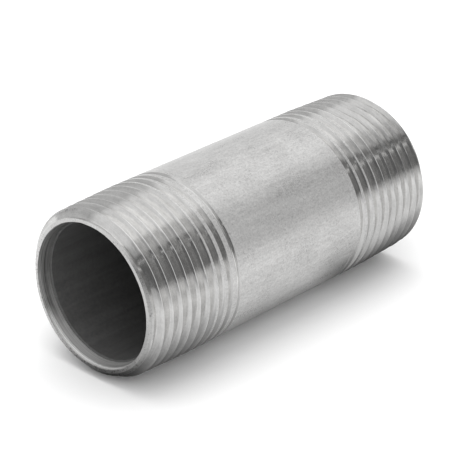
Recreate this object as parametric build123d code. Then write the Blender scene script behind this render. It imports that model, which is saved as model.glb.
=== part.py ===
from build123d import *
import math
import os

os.makedirs("parts", exist_ok=True)

# Pipe nipple, 1 in NPT by 3 in long, schedule 40. One piece of pipe with a tapered thread cut on each end.
# Frame: the pipe's axis lies along X, +Z is up, and the origin is on the axis at mid length. Millimetres.

# Pipe
LENGTH = 76.2
OUTER_R = 33.401 / 2
BORE_R = 26.645 / 2

# End face and the two cones that meet it: the outside bevel and the reamed mouth of the bore
FACE_OUTER_R = 14.75
FACE_INNER_R = 14.03
BEVEL_ANGLE = 45.0
REAM_DEPTH = 2.55
REAM_INNER_R = 13.58
REAM_SHOULDER = 0.35

# Tapered pipe thread: 11.5 turns to the inch, radius growing 1 in 32 away from the end face
PITCH = 25.4 / 11.5
RADIUS_SLOPE = 1.0 / 32.0
CREST_R_AT_FACE = 16.297
THREAD_DEPTH = 0.778 * PITCH
FLANK_ANGLE = 30.0
ROOT_FLAT = 0.038 * PITCH
GROOVE_PHASE = 0.835
TOOTH_CLEARANCE = 0.05
TOOTH_SHANK = 0.40
POINTS_PER_TURN = 18

# How far a cutting tool runs past the surface it clears
OVERRUN = 1.0

# Depth of the thread groove below the pipe's outside along each end: (distance from the end face, depth)
NEAR_RUN_OUT = [(12.4, None), (21.0, 0.70), (22.7, -0.10)]
FAR_RUN_OUT = [(13.6, None), (20.8, 1.15), (22.7, -0.10)]


def bar():
    """Round bar of the pipe's outside size, along X."""
    return Rot(0, 90, 0) * Cylinder(OUTER_R, LENGTH)


def bore_tool():
    """The inside of the pipe as one turned solid: the bore with a reamed cone at each mouth."""
    half = LENGTH / 2
    end_profile = [
        (REAM_DEPTH + REAM_SHOULDER, BORE_R),
        (REAM_DEPTH, REAM_INNER_R),
        (0.0, FACE_INNER_R),
        (-OVERRUN, FACE_INNER_R),
        (-OVERRUN, 0.0),
    ]
    near = [(distance - half, radius) for distance, radius in reversed(end_profile)]
    far = [(half - distance, radius) for distance, radius in end_profile]
    outline = Polyline(*near, *far, close=True)
    return revolve(make_face(outline), axis=Axis.X)


def taper_tool():
    """Ring outside the 1 in 32 cone of the crests, standing on +Z from the end face."""
    stop = (OUTER_R - CREST_R_AT_FACE) / RADIUS_SLOPE + OVERRUN
    outline = Polyline(
        (CREST_R_AT_FACE - RADIUS_SLOPE * OVERRUN, 0, -OVERRUN),
        (CREST_R_AT_FACE + RADIUS_SLOPE * stop, 0, stop),
        (OUTER_R + OVERRUN, 0, stop),
        (OUTER_R + OVERRUN, 0, -OVERRUN),
        close=True,
    )
    return revolve(make_face(outline), axis=Axis.Z)


def bevel_tool():
    """Ring outside the bevelled nose, standing on +Z from the end face."""
    slope = math.tan(math.radians(BEVEL_ANGLE))
    stop = (OUTER_R + OVERRUN - FACE_OUTER_R) / slope
    outline = Polyline(
        (FACE_OUTER_R - slope * OVERRUN, 0, -OVERRUN),
        (OUTER_R + OVERRUN, 0, stop),
        (OUTER_R + OVERRUN, 0, -OVERRUN),
        close=True,
    )
    return revolve(make_face(outline), axis=Axis.Z)


def root_radius(distance, depth):
    """Radius of the groove's root: on the taper where no depth is given, else below the outside."""
    if depth is None:
        return CREST_R_AT_FACE - THREAD_DEPTH + RADIUS_SLOPE * distance
    return OUTER_R - depth


def groove_section(radius):
    """Section of the cutting tooth: a 60 degree V with a flat root, under a straight shank clear of the crests."""
    reach = THREAD_DEPTH + TOOTH_CLEARANCE
    half_root = ROOT_FLAT / 2
    half_reach = half_root + reach * math.tan(math.radians(FLANK_ANGLE))
    outline = Polyline(
        (radius, 0, -half_root),
        (radius + reach, 0, -half_reach),
        (radius + reach + TOOTH_SHANK, 0, -half_reach),
        (radius + reach + TOOTH_SHANK, 0, half_reach),
        (radius + reach, 0, half_reach),
        (radius, 0, half_root),
        close=True,
    )
    return make_face(outline)


def groove_path(stations):
    """Right-hand helix along the groove's root, standing on +Z from the end face."""
    points = []
    for (start, start_depth), (stop, stop_depth) in zip(stations, stations[1:]):
        start_r = root_radius(start, start_depth)
        stop_r = root_radius(stop, stop_depth)
        count = round((stop - start) / PITCH * POINTS_PER_TURN)
        for i in range(count):
            share = i / count
            distance = start + share * (stop - start)
            radius = start_r + share * (stop_r - start_r)
            turn = 2 * math.pi * (distance - GROOVE_PHASE) / PITCH
            points.append((radius * math.cos(turn), radius * math.sin(turn), distance))
    return Spline(*points)


def groove(run_out):
    """The thread groove of one end: full depth from outside the end face, then the run-out."""
    entry = GROOVE_PHASE - PITCH
    section = Pos(0, 0, entry) * groove_section(root_radius(entry, None))
    return sweep(section, path=groove_path([(entry, None)] + run_out), is_frenet=True)


def pipe_nipple():
    """The whole nipple: a bar with a right-hand tapered thread and a bevel on each end, bored and reamed."""
    near_end = Plane(origin=(-LENGTH / 2, 0, 0), x_dir=(0, 0, 1), z_dir=(1, 0, 0))
    far_end = Plane(origin=(LENGTH / 2, 0, 0), x_dir=(0, 0, 1), z_dir=(-1, 0, 0))
    body = bar()
    for end, run_out in ((near_end, NEAR_RUN_OUT), (far_end, FAR_RUN_OUT)):
        for tool in (groove(run_out), taper_tool(), bevel_tool()):
            body = body - end.location * tool
    return body - bore_tool()


export_step(pipe_nipple(), "parts/pipe_nipple.step")
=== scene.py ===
import math

import bmesh
import bpy
import numpy as np
from mathutils import Matrix, Vector, noise


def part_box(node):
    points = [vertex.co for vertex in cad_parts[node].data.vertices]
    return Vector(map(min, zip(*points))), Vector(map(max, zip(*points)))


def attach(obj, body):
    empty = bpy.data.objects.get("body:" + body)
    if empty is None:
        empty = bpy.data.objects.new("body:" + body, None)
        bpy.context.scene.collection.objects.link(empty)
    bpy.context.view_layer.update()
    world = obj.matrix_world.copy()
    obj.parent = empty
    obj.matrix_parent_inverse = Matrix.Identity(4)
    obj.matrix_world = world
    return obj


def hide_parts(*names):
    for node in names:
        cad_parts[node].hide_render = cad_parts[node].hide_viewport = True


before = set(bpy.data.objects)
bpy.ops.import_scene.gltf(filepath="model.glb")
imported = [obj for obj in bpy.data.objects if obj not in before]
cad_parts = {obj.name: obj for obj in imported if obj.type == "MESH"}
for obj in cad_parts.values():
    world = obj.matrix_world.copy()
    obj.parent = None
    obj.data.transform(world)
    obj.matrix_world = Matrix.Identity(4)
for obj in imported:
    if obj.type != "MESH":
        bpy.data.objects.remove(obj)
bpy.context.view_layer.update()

low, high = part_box("pipe_nipple")

# Sizes are in millimetres until the mesh is made. s is the distance from an end face along the pipe, and theta is
# the angle round it from the top.
MM = 0.001
LENGTH = (high.x - low.x) / MM
OUTER_R = 0.5 * (high.z - low.z) / MM
BORE_R = 13.3225

# Tapered pipe thread: 60 degree V with a flat root
PITCH = 25.4 / 11.5
SLOPE = 1 / 32
CREST_R = 16.297
THREAD_DEPTH = 0.778 * PITCH
HALF_ROOT = 0.019 * PITCH
TAN_FLANK = math.tan(math.radians(30))
THREAD_END = 23.6

# Where the first groove of each end passes the top of the pipe
NEAR_PHASE = 0.545
FAR_PHASE = 1.11

# (distance, groove depth below the outside); None is full depth on the taper
NEAR_RUN_OUT = [(12.4, None), (21.0, 0.70), (22.7, -0.10)]
FAR_RUN_OUT = [(13.6, None), (20.8, 1.15), (22.7, -0.10)]

# Wear of the crests: a mean, slow waves round the pipe, and chips where the fine waves rise past a level
TEAR_MEAN, TEAR_SWING, TEAR_WAVES = 0.016, 0.014, 9
CHIP_SIZE, CHIP_FROM, CHIP_WAVES = 0.022, 0.3, 34
WEAR_ALONG = 0.9
EDGE_ROUND = 0.012

# Ridge left in the root of the last turn, from before the last station of the run-out to after it
LAST_RIDGE, LAST_RIDGE_WIDTH = 0.34, 0.14
LAST_TURN_BEFORE, LAST_TURN_AFTER = 1.1, 0.7
ROOT_LIFT, ROOT_ROUND = 0.01, 0.02

# End face, its bevel and the reamed mouth
FACE_OUTER = 14.75
FACE_INNER = 14.03
BEVEL_WAVE, BEVEL_LOBES, BEVEL_ROUND = 0.03, 3, 0.05
REAM_DEPTH, REAM_R, SHOULDER = 2.55, 13.58, 0.35
BURR_WAVES, BURR_SIZE, BURR_IN_REAM = 11, 0.05, 0.01
FACE_EDGE = 0.05

# (depth from the end face, radius off the plain cone): the reamer's chatter rings, then a smooth cone
REAM_RIDGES = [(0.22, 0.03), (0.34, -0.03), (0.46, 0.035), (0.60, -0.03), (0.74, 0.03), (0.92, -0.015),
               (1.1, 0.0), (1.6, 0.0), (2.1, 0.0), (REAM_DEPTH, 0.0)]

# Seeds of the wear on the near and the far end
NEAR_SEED, FAR_SEED = 3.7, 11.3

# Density of the mesh; the last two lengths are in metres
COLUMNS = 240
FLANK_STEPS = (0.12, 0.42, 0.72)
BARREL_RINGS, BORE_RINGS = 13, 11
LEAST_DEPTH = 0.08
LEAST_LAND = 0.05
SHARP_ANGLE = math.radians(24)
MERGE_DISTANCE = 2e-6
NO_LENGTH = 1e-7

# Material slots of the nipple, and how close to the outside, the barrel and the bevel a face counts as theirs
SKIN, THREAD, TURNED, BORE, REAM = range(5)
SKIN_WITHIN = 0.012
SKIN_FROM = THREAD_END - 1.0
BEVEL_WITHIN = 0.06
FACE_ROWS = 3


def smooth_min(a, b, k):
    """The smaller of a and b, rounded where they are within k of each other."""
    h = np.clip(0.5 + 0.5 * (b - a) / k, 0, 1)
    return b + (a - b) * h - k * h * (1 - h)


def ring_noise(theta, waves, along, shift_x=0.0, shift_y=0.0):
    """Noise on a circle of radius waves, so that it closes round the pipe."""
    points = np.stack([np.cos(theta) * waves + shift_x, np.sin(theta) * waves + shift_y, along], 1)
    return np.array([noise.noise(Vector(p)) for p in points.tolist()])


# ---------------------------------------------------------------- mesh

def groove_root(centre, run_out):
    """Radius of the groove's root at a distance from the end face."""
    stations = [(-2 * PITCH, None)] + run_out
    s = [d for d, _ in stations]
    r = [CREST_R - THREAD_DEPTH + SLOPE * d if depth is None else OUTER_R - depth
         for d, depth in stations]
    return np.where(centre > s[-1], r[-1] + (centre - s[-1]), np.interp(centre, s, r))


def crest_height(s, theta, seed):
    """Radius of the crests: the taper, cut by the pipe's outside, slightly torn along the edge."""
    tear = ring_noise(theta, TEAR_WAVES, s * WEAR_ALONG, shift_x=seed)
    fine = ring_noise(theta, CHIP_WAVES, s * WEAR_ALONG, shift_y=seed)
    worn = TEAR_MEAN + TEAR_SWING * tear - CHIP_SIZE * np.maximum(fine - CHIP_FROM, 0)
    return np.minimum(CREST_R + SLOPE * s - np.abs(worn), OUTER_R)


def outer_radius(s, theta, centre, run_out, seed):
    """Radius of a threaded end at (s, theta), where centre is the nearest groove's distance from the end face."""
    w = np.abs(s - centre)
    root = groove_root(centre, run_out)
    groove = root + np.maximum(w - HALF_ROOT, 0) / TAN_FLANK
    last_station = run_out[-2][0]
    last_turn = (centre > last_station - LAST_TURN_BEFORE) & (s < last_station + LAST_TURN_AFTER)
    ridge = np.where(last_turn, LAST_RIDGE * np.exp(-(w / LAST_RIDGE_WIDTH) ** 2), ROOT_LIFT)
    groove = -smooth_min(-groove, -(root + ridge), ROOT_ROUND)
    r = smooth_min(crest_height(s, theta, seed), groove, EDGE_ROUND)
    bevel = FACE_OUTER + s + BEVEL_WAVE * np.sin(BEVEL_LOBES * theta + seed)
    return smooth_min(r, bevel, BEVEL_ROUND)


def thread_zone(mid_s, mid_r, on_crest):
    """Material slot of a face of the thread's strip, from its middle."""
    if mid_r > OUTER_R - SKIN_WITHIN and on_crest or mid_s > SKIN_FROM:
        return SKIN
    return TURNED if mid_r > FACE_OUTER + mid_s - BEVEL_WITHIN else THREAD


def thread_grid(phase, run_out, seed):
    """Helical strip that carries one thread, clamped to the end face and to the plain barrel.
    Returns vertices as (s, radius, theta), quads, and a material slot for each quad."""
    turns = math.ceil((THREAD_END - phase + PITCH) / PITCH) + 1
    count = turns * COLUMNS
    n = np.arange(count)
    centre = phase - PITCH + PITCH * n / COLUMNS
    theta = 2 * np.pi * n / COLUMNS
    depth = np.minimum(CREST_R + SLOPE * centre, OUTER_R) - groove_root(centre, run_out)
    edge = HALF_ROOT + np.maximum(depth, LEAST_DEPTH) * TAN_FLANK
    edge = np.minimum(edge, PITCH / 2 - LEAST_LAND)
    flank = [HALF_ROOT + t * (edge - HALF_ROOT) for t in FLANK_STEPS]
    side = [np.full(count, HALF_ROOT)] + flank + [edge - EDGE_ROUND, edge + 2 * EDGE_ROUND]
    offsets = [np.full(count, -PITCH / 2)] + [-o for o in reversed(side)] + [np.zeros(count)] + side
    rows = len(offsets)
    s = np.clip(np.stack([centre + o for o in offsets], 1), 0, THREAD_END).ravel()
    th = np.repeat(theta, rows)
    ce = np.repeat(centre, rows)
    # a point nearer to the next or the last groove takes that one
    shift = np.round((s - ce) / PITCH)
    r = outer_radius(s, th, ce + shift * PITCH, run_out, seed)
    r = np.where(s >= THREAD_END, OUTER_R, r)
    verts = np.stack([s, r, th], 1)
    quads, zones = [], []
    for i in range(count):
        for j in range(rows):
            a = i * rows + j
            b = a + rows
            if j + 1 < rows:
                d, c = a + 1, b + 1
            else:
                # the last row meets the first row of the next turn
                d, c = a + COLUMNS * rows - j, b + COLUMNS * rows - j
            if max(b, c, d) >= len(verts):
                continue
            quad = (a, b, c, d)
            if all(s[k] <= 0 for k in quad) or all(s[k] >= THREAD_END for k in quad):
                continue
            mid_s = sum(s[k] for k in quad) / 4
            mid_r = sum(r[k] for k in quad) / 4
            quads.append(quad)
            zones.append(thread_zone(mid_s, mid_r, j in (0, rows - 1)))
    return verts, quads, zones


def place(points, far):
    """(s, radius, theta) to the row frame, in metres. The far end is the near one turned half round about Z."""
    s, r, th = points[:, 0], points[:, 1], points[:, 2]
    x = s - LENGTH / 2
    y = -r * np.sin(th)
    z = r * np.cos(th)
    if far:
        x, y = -x, -y
    return np.stack([x, y, z], 1) * MM


def ring_grid(rings):
    """Rings of (s, radius array) joined by quads, COLUMNS points each."""
    theta = 2 * np.pi * np.arange(COLUMNS) / COLUMNS
    verts = np.concatenate([np.stack([np.full(COLUMNS, s), np.broadcast_to(r, COLUMNS), theta], 1)
                            for s, r in rings])
    quads = []
    for k in range(len(rings) - 1):
        this, following = k * COLUMNS, (k + 1) * COLUMNS
        for i in range(COLUMNS):
            j = (i + 1) % COLUMNS
            quads.append((this + i, this + j, following + j, following + i))
    return verts, quads


def plain_tube(radius, start, stop, count):
    """A plain cylinder of count rings from start to stop, as measured from the near end."""
    return ring_grid([(s, np.full(COLUMNS, radius)) for s in np.linspace(start, stop, count)])


def turned_over(quads):
    return [tuple(reversed(q)) for q in quads]


def end_rings(phase, run_out, seed):
    """From the rim of the thread across the end face, down the ream to the bore."""
    theta = 2 * np.pi * np.arange(COLUMNS) / COLUMNS
    zero = np.zeros(COLUMNS)
    centre = phase + PITCH * theta / (2 * np.pi)
    shift = np.round((zero - centre) / PITCH)
    rim = outer_radius(zero, theta, centre + shift * PITCH, run_out, seed)
    burr = ring_noise(theta, BURR_WAVES, zero + seed)
    inner = FACE_INNER + BURR_SIZE * burr
    rings = [(0.0, rim), (0.0, 0.5 * (rim + inner)), (0.0, inner + FACE_EDGE), (FACE_EDGE, inner)]
    for depth, ridge in REAM_RIDGES:
        share = depth / REAM_DEPTH
        cone = FACE_INNER + share * (REAM_R - FACE_INNER)
        rings.append((depth, cone + ridge + BURR_IN_REAM * burr))
    rings.append((REAM_DEPTH + SHOULDER, zero + BORE_R))
    return rings


def end_zone(row, count):
    """Material slot of a row of end faces: turned face, reamed cone, and the shoulder with the bore's painted
    shade.
    """
    if row < FACE_ROWS:
        return TURNED
    return BORE if row == count - 1 else REAM


def mesh_parts():
    """The surface of the nipple in pieces: (vertices, quads, material slots)."""
    ends = ((False, NEAR_PHASE, NEAR_RUN_OUT, NEAR_SEED), (True, FAR_PHASE, FAR_RUN_OUT, FAR_SEED))
    for far, phase, run_out, seed in ends:
        verts, quads, zones = thread_grid(phase, run_out, seed)
        yield place(verts, far), quads, zones
        rings = end_rings(phase, run_out, seed)
        verts, quads = ring_grid(rings)
        zones = [end_zone(k // COLUMNS, len(rings) - 1) for k in range(len(quads))]
        yield place(verts, far), turned_over(quads), zones
    verts, quads = plain_tube(OUTER_R, THREAD_END, LENGTH - THREAD_END, BARREL_RINGS)
    yield place(verts, False), quads, [SKIN] * len(quads)
    verts, quads = plain_tube(BORE_R, REAM_DEPTH + SHOULDER, LENGTH - REAM_DEPTH - SHOULDER, BORE_RINGS)
    yield place(verts, False), turned_over(quads), [BORE] * len(quads)


def build_mesh():
    """One mesh from all the parts, merged where they meet."""
    parts = list(mesh_parts())
    bm = bmesh.new()
    made = [bm.verts.new(v) for verts, _, _ in parts for v in verts.tolist()]
    base = 0
    for verts, quads, zones in parts:
        for quad, zone in zip(quads, zones):
            face = bm.faces.new([made[base + k] for k in quad])
            face.material_index = zone
            face.smooth = True
        base += len(verts)
    bmesh.ops.remove_doubles(bm, verts=bm.verts, dist=MERGE_DISTANCE)
    bmesh.ops.dissolve_degenerate(bm, edges=bm.edges, dist=NO_LENGTH)
    loose = [v for v in bm.verts if not v.link_faces]
    bmesh.ops.delete(bm, geom=loose, context="VERTS")
    bmesh.ops.recalc_face_normals(bm, faces=bm.faces)
    open_edges = sum(1 for e in bm.edges if len(e.link_faces) != 2)
    print("nipple mesh:", len(bm.faces), "faces,", open_edges, "open edges")
    mesh = bpy.data.meshes.new("nipple_skin")
    bm.to_mesh(mesh)
    bm.free()
    mesh.set_sharp_from_angle(angle=SHARP_ANGLE)
    return mesh


# ---------------------------------------------------------------- node helpers

class Nodes:
    """Short helper over a node tree."""

    def __init__(self, tree):
        self.tree = tree

    def add(self, kind, **values):
        node = self.tree.nodes.new(kind)
        for key, value in values.items():
            setattr(node, key, value)
        return node

    def link(self, output, socket):
        self.tree.links.new(output, socket)

    def feed(self, socket, value):
        """Set a socket to a number, or link it to an output."""
        if isinstance(value, (int, float)):
            socket.default_value = value
        else:
            self.link(value, socket)

    def math(self, operation, a, b=None):
        node = self.add("ShaderNodeMath", operation=operation)
        self.feed(node.inputs[0], a)
        if b is not None:
            self.feed(node.inputs[1], b)
        return node.outputs[0]

    def total(self, first, *others):
        """Sum of all the values."""
        for other in others:
            first = self.math("ADD", first, other)
        return first

    def reach(self, x, y):
        """Length of the vector (x, y)."""
        return self.math("SQRT", self.math("ADD", self.math("MULTIPLY", x, x), self.math("MULTIPLY", y, y)))

    def step(self, value, start, stop):
        """0 before start, 1 after stop, smooth between."""
        node = self.add("ShaderNodeMapRange", interpolation_type="SMOOTHSTEP")
        node.inputs["From Min"].default_value = start
        node.inputs["From Max"].default_value = stop
        self.link(value, node.inputs["Value"])
        return node.outputs["Result"]

    def mix(self, share, at_none, at_all):
        """at_none where share is 0, at_all where it is 1."""
        node = self.add("ShaderNodeMix", data_type="FLOAT")
        for name, value in (("Factor", share), ("A", at_none), ("B", at_all)):
            self.feed(next(i for i in node.inputs if i.name == name and i.type == "VALUE"), value)
        return next(o for o in node.outputs if o.type == "VALUE")


class Metal(Nodes):
    """A material over the Principled shader. Lengths in the textures are millimetres."""

    def __init__(self, name):
        self.material = bpy.data.materials.new(name)
        self.material.use_nodes = True
        super().__init__(self.material.node_tree)
        self.tree.nodes.clear()
        out = self.add("ShaderNodeOutputMaterial")
        self.shader = self.add("ShaderNodeBsdfPrincipled")
        self.link(self.shader.outputs["BSDF"], out.inputs["Surface"])
        self.place = self.add("ShaderNodeTexCoord").outputs["Object"]

    def noise(self, per_mm, detail=3.0, rough=0.55, shift=0.0):
        """Noise between about 0 and 1; per_mm is its frequency along X, Y and Z."""
        mapping = self.add("ShaderNodeMapping")
        mapping.inputs["Scale"].default_value = [f / MM for f in per_mm]
        mapping.inputs["Location"].default_value = (shift, shift * 0.7, shift * 1.3)
        self.link(self.place, mapping.inputs["Vector"])
        tex = self.add("ShaderNodeTexNoise")
        tex.inputs["Scale"].default_value = 1.0
        tex.inputs["Detail"].default_value = detail
        tex.inputs["Roughness"].default_value = rough
        self.link(mapping.outputs["Vector"], tex.inputs["Vector"])
        return tex.outputs["Fac"]

    def remap(self, value, from_low, from_high, to_low, to_high):
        node = self.add("ShaderNodeMapRange", clamp=True)
        node.inputs["From Min"].default_value = from_low
        node.inputs["From Max"].default_value = from_high
        node.inputs["To Min"].default_value = to_low
        node.inputs["To Max"].default_value = to_high
        self.link(value, node.inputs["Value"])
        return node.outputs["Result"]

    def grey(self, value):
        """A grey colour of that brightness, very slightly warm."""
        node = self.add("ShaderNodeCombineColor")
        for socket, tint in zip(node.inputs, (1.0, 0.995, 0.985)):
            self.link(self.math("MULTIPLY", value, tint), socket)
        return node.outputs["Color"]

    def bump(self, height, strength, distance_mm, normal=None):
        node = self.add("ShaderNodeBump")
        node.inputs["Strength"].default_value = strength
        node.inputs["Distance"].default_value = distance_mm * MM
        self.link(height, node.inputs["Height"])
        if normal is not None:
            self.link(normal, node.inputs["Normal"])
        return node.outputs["Normal"]

    def finish(self, colour, roughness, normal, metallic=1.0):
        self.shader.inputs["Metallic"].default_value = metallic
        self.link(self.grey(colour), self.shader.inputs["Base Color"])
        self.link(roughness, self.shader.inputs["Roughness"])
        self.link(normal, self.shader.inputs["Normal"])
        return self.material


# ---------------------------------------------------------------- materials

def pickled_skin():
    """Plain barrel: satin pickled pipe, mottled, with fine grain, small pits and faint streaks along its length."""
    m = Metal("pickled_skin")
    grain = m.noise((3.2, 3.2, 3.2), 4, 0.65)
    fine = m.noise((1.3, 2.4, 2.4), 4, 0.7, 15.0)
    blotch = m.noise((0.14, 0.24, 0.24), 4, 0.6, 5.0)
    streak = m.noise((0.06, 1.1, 1.1), 3, 0.5, 9.0)
    pit = m.noise((1.9, 1.9, 1.9), 2, 0.5, 21.0)
    wave = m.noise((0.7, 1.2, 1.2), 2, 0.5, 2.0)
    colour = m.total(
        m.remap(grain, 0.3, 0.7, 0.53, 0.76),
        m.remap(blotch, 0.3, 0.7, -0.06, 0.06),
        m.remap(streak, 0.35, 0.7, -0.03, 0.03),
        m.remap(fine, 0.35, 0.65, -0.06, 0.06),
        m.remap(pit, 0.66, 0.74, 0.0, -0.14),
    )
    rough = m.total(m.remap(blotch, 0.3, 0.7, 0.27, 0.37), m.remap(grain, 0.3, 0.7, -0.04, 0.06))
    normal = m.bump(wave, 0.5, 0.02)
    normal = m.bump(grain, 0.6, 0.010, normal)
    return m.finish(colour, rough, normal)


def cut_thread():
    """Thread: fresh cut steel with fine tool lines and scores round the pipe and a few duller patches."""
    m = Metal("cut_thread")
    lines = m.noise((14.0, 0.12, 0.12), 2, 0.6)
    scores = m.noise((3.6, 0.10, 0.10), 3, 0.65, 17.0)
    patch = m.noise((0.5, 0.35, 0.35), 3, 0.6, 4.0)
    grain = m.noise((4.0, 1.6, 1.6), 3, 0.6, 7.0)
    colour = m.total(
        m.remap(patch, 0.3, 0.7, 0.64, 0.72),
        m.remap(lines, 0.3, 0.7, -0.02, 0.02),
        m.remap(scores, 0.32, 0.68, -0.07, 0.05),
        m.remap(grain, 0.35, 0.65, -0.03, 0.03),
    )
    rough = m.total(m.remap(patch, 0.35, 0.7, 0.08, 0.15), m.remap(grain, 0.35, 0.7, -0.02, 0.04))
    normal = m.bump(lines, 0.35, 0.006)
    normal = m.bump(grain, 0.4, 0.006, normal)
    return m.finish(colour, rough, normal)


def turned_end():
    """Bevel and end face: turned rings, with grain and dark nicks."""
    m = Metal("turned_end")
    rings = m.noise((4.0, 0.05, 0.05), 3, 0.65)
    grain = m.noise((2.4, 2.4, 2.4), 3, 0.6, 3.0)
    nick = m.noise((1.1, 1.1, 1.1), 3, 0.6, 31.0)
    colour = m.total(
        m.remap(rings, 0.3, 0.7, 0.44, 0.66),
        m.remap(grain, 0.3, 0.7, -0.06, 0.06),
        m.remap(nick, 0.62, 0.72, 0.0, -0.22),
    )
    rough = m.remap(grain, 0.3, 0.7, 0.24, 0.38)
    normal = m.bump(rings, 0.6, 0.02)
    normal = m.bump(grain, 0.5, 0.012, normal)
    return m.finish(colour, rough, normal)


def reamed_mouth():
    """Reamed cone: fine rings, darker round its upper part and lighter below, painted shade of the mouth."""
    m = Metal("reamed_mouth")
    cloud = m.noise((0.25, 0.16, 0.16), 3, 0.55, 12.0)
    rings = m.noise((2.8, 0.04, 0.04), 2, 0.6, 1.0)
    split = m.add("ShaderNodeSeparateXYZ")
    m.link(m.place, split.inputs[0])
    height = m.total(split.outputs["Z"], m.remap(cloud, 0.3, 0.7, -4 * MM, 4 * MM))
    # Painted shade: darker towards the top of the mouth, lighter below.
    wiped = m.remap(height, -11 * MM, -2 * MM, 0.74, 0.26)
    colour = m.total(wiped, m.remap(rings, 0.35, 0.65, -0.15, 0.15))
    colour = m.math("MAXIMUM", colour, 0.05)
    rough = m.remap(cloud, 0.3, 0.7, 0.30, 0.42)
    normal = m.bump(rings, 0.6, 0.03)
    return m.finish(colour, rough, normal, metallic=0.7)


def bore_scale():
    """Inside of the pipe: dull, its near-black colour painted shade of the deep bore, with streaks drawn out along
    its length.
    """
    m = Metal("bore_scale")
    grain = m.noise((1.6, 1.6, 1.6), 4, 0.6)
    drawn = m.noise((0.05, 0.8, 0.8), 3, 0.5, 6.0)
    # The near-black colour is painted shade of the bore.
    colour = m.total(m.remap(grain, 0.3, 0.7, 0.055, 0.085), m.remap(drawn, 0.35, 0.7, 0.0, 0.02))
    rough = m.remap(grain, 0.3, 0.7, 0.55, 0.72)
    normal = m.bump(grain, 0.4, 0.02)
    return m.finish(colour, rough, normal, metallic=0.0)


# ---------------------------------------------------------------- stage

# The studio as the metal sees it. Name, azimuth of the middle (from +X towards +Y), half width, bottom and top
# elevation, softness, brightness. Degrees, seen from the table.
BASE_LEVEL = 0.95
PANELS = [
    ("right wall", 35, 32, -20, 46, 14, 0.86),
    ("back wall", 108, 32, -4, 43, 10, 0.57),
    ("back left wall", 160, 20, -20, 46, 10, 0.86),
    ("window frame", 83, 6, 10, 42, 8, 0.50),
    ("window", 93, 5, -5, 18, 6, 1.05),
    ("left front", -141, 18, -10, 50, 12, 0.62),
    ("dark room", -105, 20, 11, 66, 12, 0.24),
    ("pale strip", -94, 6, 22, 46, 8, 0.50),
    ("dark room's right half", -75, 17, 6, 56, 10, 0.29),
    ("front post", -46, 13, 0, 42, 10, 0.83),
    ("over the front post", -45, 13, 42, 55, 10, 0.74),
    ("slit", -79, 10, 38.2, 41.8, 2, 1.25),
    ("dark door", -14, 19, -20, 37, 8, 0.18),
    ("dark door's left", -37, 6, -20, 19, 8, 0.28),
    ("left", -169, 16, -10, 26, 10, 0.42),
    ("pale board over the left wall", -178, 42, 44, 60, 12, 1.12),
    ("ceiling", -166, 90, 62, 120, 14, 0.80),
    ("front ceiling", -125, 18, 56, 74, 10, 0.52),
    ("softbox", 24, 74, 54, 120, 16, 1.48),
    ("softbox's dim end", -50, 13, 53, 70, 8, 0.82),
]

# The table, in metres. The camera sees it lit by the lamps; the metal sees a card just under it.
TABLE_HALF = 3.0
TABLE_WHITE = 0.90
TABLE_ROUGH = 0.9
TABLE_GLOSS = 0.1
CARD_BELOW = 0.5 * MM

# Brightness of that card in front of the pipe, beside it where painted shade falls and behind it where painted
# light makes it brighter, and soft round patches of painted light and shadow on it, the one off the near end the
# flag's shadow: (centre, inner radius, outer radius, brightness). Millimetres.
FRONT_TABLE = 1.0
NEAR_TABLE = 0.84
BACK_TABLE = 1.05
BACK_FROM, BACK_FULL = -10, 60
TABLE_PATCHES = [
    ((-22, -55), 15, 42, 1.15),
    ((-30, -130), 20, 90, 0.86),
    ((-162, -85), 30, 125, 0.46),
    ((165, -100), 20, 90, 0.50),
]
PIPE_HALF = 34
BESIDE_FROM, BESIDE_TO = 30, 58
BEHIND_FROM, BEHIND_TO = -8, 6

# The pipe's painted contact shadow on that card, wider under each thread. Millimetres.
CONTACT_IN, CONTACT_OUT, CONTACT_LEVEL = 1, 25, 0.04
THREAD_FROM, THREAD_FULL = 12, 24
NEAR_SHADE, FAR_SHADE = 3.3, 5.5

# Lamps: metres and watts
LAMP_SIZE = 1.1
OVERHEAD_W = 8.0
OVERHEAD_PLACE = (0, 0, 1.3)
FILL_W = 8.0
FILL_PLACE = (-0.55, -0.95, 0.90)

# The flag on the table, off the near end: a plane across X, cut in two by a narrow slanted gap. Its edge towards +Y
# and the gap's middle each pass a point (y, z) in millimetres and lean towards -Y as they rise.
FLAG_X = -205 * MM
FLAG_LEVEL = 0.14
FLAG_FOOT = low.z
FLAG_TOP = 150 * MM
FLAG_END = -128 * MM
EDGE_POINT, EDGE_LEAN = (-22.4, 53.5), 0.90
GAP_POINT, GAP_LEAN = (-28.8, 39), 1.07
GAP_HALF = 2.3 * MM
GAP_LEVEL = 0.8


def leaning_line(z, point, lean):
    """y of a slanted line at height z, in metres."""
    return (point[0] - lean * (z / MM - point[1])) * MM


def level_square(half, z):
    """Corners of a level square with its middle on the Z axis."""
    return [(-half, -half, z), (half, -half, z), (half, half, z), (-half, half, z)]


def flat_sheet(name, corners):
    """A single flat face in the scene."""
    mesh = bpy.data.meshes.new(name)
    mesh.from_pydata(corners, [], [tuple(range(len(corners)))])
    sheet = bpy.data.objects.new(name, mesh)
    bpy.context.scene.collection.objects.link(sheet)
    return sheet


def flat_card(name, corners, brightness):
    """A flat card of even brightness that only reflections see. Returns its helper and its emission node."""
    card = flat_sheet(name, corners)
    material = bpy.data.materials.new(name)
    material.use_nodes = True
    w = Nodes(material.node_tree)
    w.tree.nodes.clear()
    out = w.add("ShaderNodeOutputMaterial")
    glow = w.add("ShaderNodeEmission")
    glow.inputs["Color"].default_value = (brightness, brightness, brightness, 1)
    glow.inputs["Strength"].default_value = 1.0
    w.link(glow.outputs[0], out.inputs["Surface"])
    card.data.materials.append(material)
    card.visible_camera = False
    card.visible_diffuse = False
    card.visible_shadow = False
    card.visible_transmission = False
    return w, glow


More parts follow.
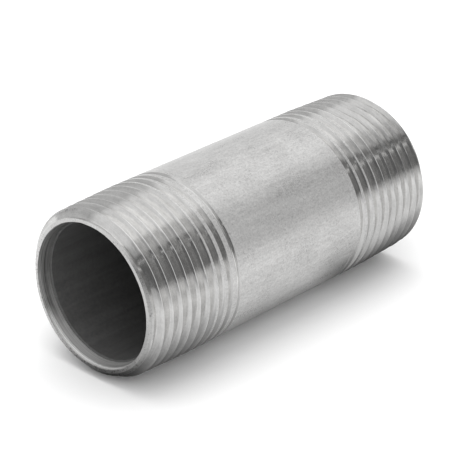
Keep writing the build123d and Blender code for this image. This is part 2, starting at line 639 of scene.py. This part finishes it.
def table_in_metal():
    """The table as the metal sees it: pale, with painted contact shadow under the pipe and painted shade off the
    near end's right side.
    """
    w, glow = flat_card("table_in_metal", level_square(TABLE_HALF, low.z - CARD_BELOW), 1.0)
    split = w.add("ShaderNodeSeparateXYZ")
    w.link(w.add("ShaderNodeNewGeometry").outputs["Position"], split.inputs[0])
    x, y, _ = split.outputs
    # Painted light: the card is brighter behind the pipe than in front of it.
    level = w.mix(w.step(y, BACK_FROM * MM, BACK_FULL * MM), FRONT_TABLE, BACK_TABLE)
    # Soft patches of painted light and shadow.
    for (patch_x, patch_y), inner, outer, brightness in TABLE_PATCHES:
        away = w.reach(w.math("SUBTRACT", x, patch_x * MM), w.math("SUBTRACT", y, patch_y * MM))
        level = w.mix(w.step(away, inner * MM, outer * MM), brightness, level)
    # Painted shade on the card beside the pipe, in front of it.
    past = w.math("MAXIMUM", w.math("SUBTRACT", w.math("ABSOLUTE", x), PIPE_HALF * MM), 0.0)
    away = w.reach(past, y)
    beside = w.step(away, BESIDE_FROM * MM, BESIDE_TO * MM)
    behind = w.step(y, BEHIND_FROM * MM, BEHIND_TO * MM)
    level = w.mix(w.math("MAXIMUM", beside, behind), NEAR_TABLE, level)
    # Painted contact shadow: it reaches further out under each thread, then darkens the card near the pipe.
    for end, shade in ((-1, NEAR_SHADE), (1, FAR_SHADE)):
        under_thread = w.step(w.math("MULTIPLY", x, float(end)), THREAD_FROM * MM, THREAD_FULL * MM)
        away = w.math("SUBTRACT", away, w.math("MULTIPLY", under_thread, shade * MM))
    level = w.mix(w.step(away, CONTACT_IN * MM, CONTACT_OUT * MM), CONTACT_LEVEL, level)
    w.link(level, glow.inputs["Strength"])


def build_table():
    """The white table that the camera sees, with the pipe's soft shadow on it."""
    table = flat_sheet("table", level_square(TABLE_HALF, low.z))
    material = bpy.data.materials.new("table_white")
    material.use_nodes = True
    shader = material.node_tree.nodes["Principled BSDF"]
    shader.inputs["Base Color"].default_value = (TABLE_WHITE, TABLE_WHITE, TABLE_WHITE, 1)
    shader.inputs["Roughness"].default_value = TABLE_ROUGH
    shader.inputs["Specular IOR Level"].default_value = TABLE_GLOSS
    table.data.materials.append(material)
    table.visible_glossy = False


def build_flag():
    """The dark flag off the near end, in two halves with the brighter gap between them."""
    edge, gap_high, gap_low, end = [], [], [], []
    for z in (FLAG_FOOT, FLAG_TOP):
        middle = leaning_line(z, GAP_POINT, GAP_LEAN)
        edge.append((FLAG_X, leaning_line(z, EDGE_POINT, EDGE_LEAN), z))
        gap_high.append((FLAG_X, middle + GAP_HALF, z))
        gap_low.append((FLAG_X, middle - GAP_HALF, z))
        end.append((FLAG_X, FLAG_END, z))
    flat_card("flag_upper", edge + gap_high[::-1], FLAG_LEVEL)
    flat_card("flag_gap", gap_high + gap_low[::-1], GAP_LEVEL)
    flat_card("flag_lower", gap_low + end[::-1], FLAG_LEVEL)


def area_lamp(name, watts, location):
    """A square lamp facing down. Reflections leave it out, because the panels stand for it there."""
    light = bpy.data.lights.new(name, "AREA")
    light.shape = "SQUARE"
    light.size = LAMP_SIZE
    light.energy = watts
    lamp = bpy.data.objects.new(name, light)
    lamp.location = location
    lamp.visible_glossy = False
    bpy.context.scene.collection.objects.link(lamp)
    return lamp


def studio_world():
    """The studio as seen from the table: a white room with brighter and darker panels."""
    world = bpy.data.worlds.new("studio")
    world.use_nodes = True
    w = Nodes(world.node_tree)
    w.tree.nodes.clear()
    out = w.add("ShaderNodeOutputWorld")
    background = w.add("ShaderNodeBackground")
    w.link(background.outputs[0], out.inputs["Surface"])
    split = w.add("ShaderNodeSeparateXYZ")
    w.link(w.add("ShaderNodeTexCoord").outputs["Generated"], split.inputs[0])
    x, y, z = split.outputs
    elevation = w.math("DEGREES", w.math("ARCSINE", z))
    azimuth = w.math("DEGREES", w.math("ARCTAN2", y, x))
    level = BASE_LEVEL
    for _, middle, half, bottom, top, soft, brightness in PANELS:
        away = w.math("PINGPONG", w.math("SUBTRACT", azimuth, float(middle)), 180.0)
        across = w.math("SUBTRACT", 1.0, w.step(away, half - soft / 2, half + soft / 2))
        above = w.step(elevation, bottom - soft / 2, bottom + soft / 2)
        below = w.math("SUBTRACT", 1.0, w.step(elevation, top - soft / 2, top + soft / 2))
        share = w.math("MULTIPLY", w.math("MULTIPLY", across, above), below)
        level = w.mix(share, level, brightness)
    colour = w.add("ShaderNodeCombineColor")
    for socket in colour.inputs:
        w.link(level, socket)
    w.link(colour.outputs[0], background.inputs["Color"])
    background.inputs["Strength"].default_value = 1.0
    bpy.context.scene.world = world


def build_stage():
    build_table()
    table_in_metal()
    build_flag()
    area_lamp("overhead", OVERHEAD_W, OVERHEAD_PLACE)
    fill = area_lamp("front_fill", FILL_W, FILL_PLACE)
    fill.rotation_euler = (-Vector(FILL_PLACE)).to_track_quat("-Z", "Y").to_euler()
    studio_world()


# ---------------------------------------------------------------- camera

# Azimuth from -Y towards +X and elevation, in degrees. RIGHT and UP are how far the pipe's middle is off the
# picture's middle.
CAMERA_AZIMUTH = -46.84
CAMERA_ELEVATION = 25.93
CAMERA_DISTANCE = 24.313 * OUTER_R * MM
CAMERA_RIGHT = 0.0812 * OUTER_R * MM
CAMERA_UP = 0.0054 * OUTER_R * MM
LENS = 167.67
SENSOR = 36
CLIP_START = 0.01


def build_camera():
    a, e = math.radians(CAMERA_AZIMUTH), math.radians(CAMERA_ELEVATION)
    back = Vector((math.sin(a) * math.cos(e), -math.cos(a) * math.cos(e), math.sin(e)))
    right = Vector((math.cos(a), math.sin(a), 0))
    up = back.cross(right)
    data = bpy.data.cameras.new("camera")
    data.lens = LENS
    data.sensor_width = SENSOR
    data.clip_start = CLIP_START
    camera = bpy.data.objects.new("camera", data)
    spot = back * CAMERA_DISTANCE - right * CAMERA_RIGHT - up * CAMERA_UP
    turn = Matrix((right, up, back)).transposed()
    camera.matrix_world = Matrix.Translation(spot) @ turn.to_4x4()
    bpy.context.scene.collection.objects.link(camera)
    bpy.context.scene.camera = camera


# ---------------------------------------------------------------- scene

nipple = bpy.data.objects.new("nipple", build_mesh())
bpy.context.scene.collection.objects.link(nipple)
# in the order of the slots SKIN, THREAD, TURNED, BORE, REAM
for material in (pickled_skin(), cut_thread(), turned_end(), bore_scale(), reamed_mouth()):
    nipple.data.materials.append(material)
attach(nipple, "root")
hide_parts("pipe_nipple")

build_stage()
build_camera()
bpy.context.scene.view_settings.view_transform = "Standard"
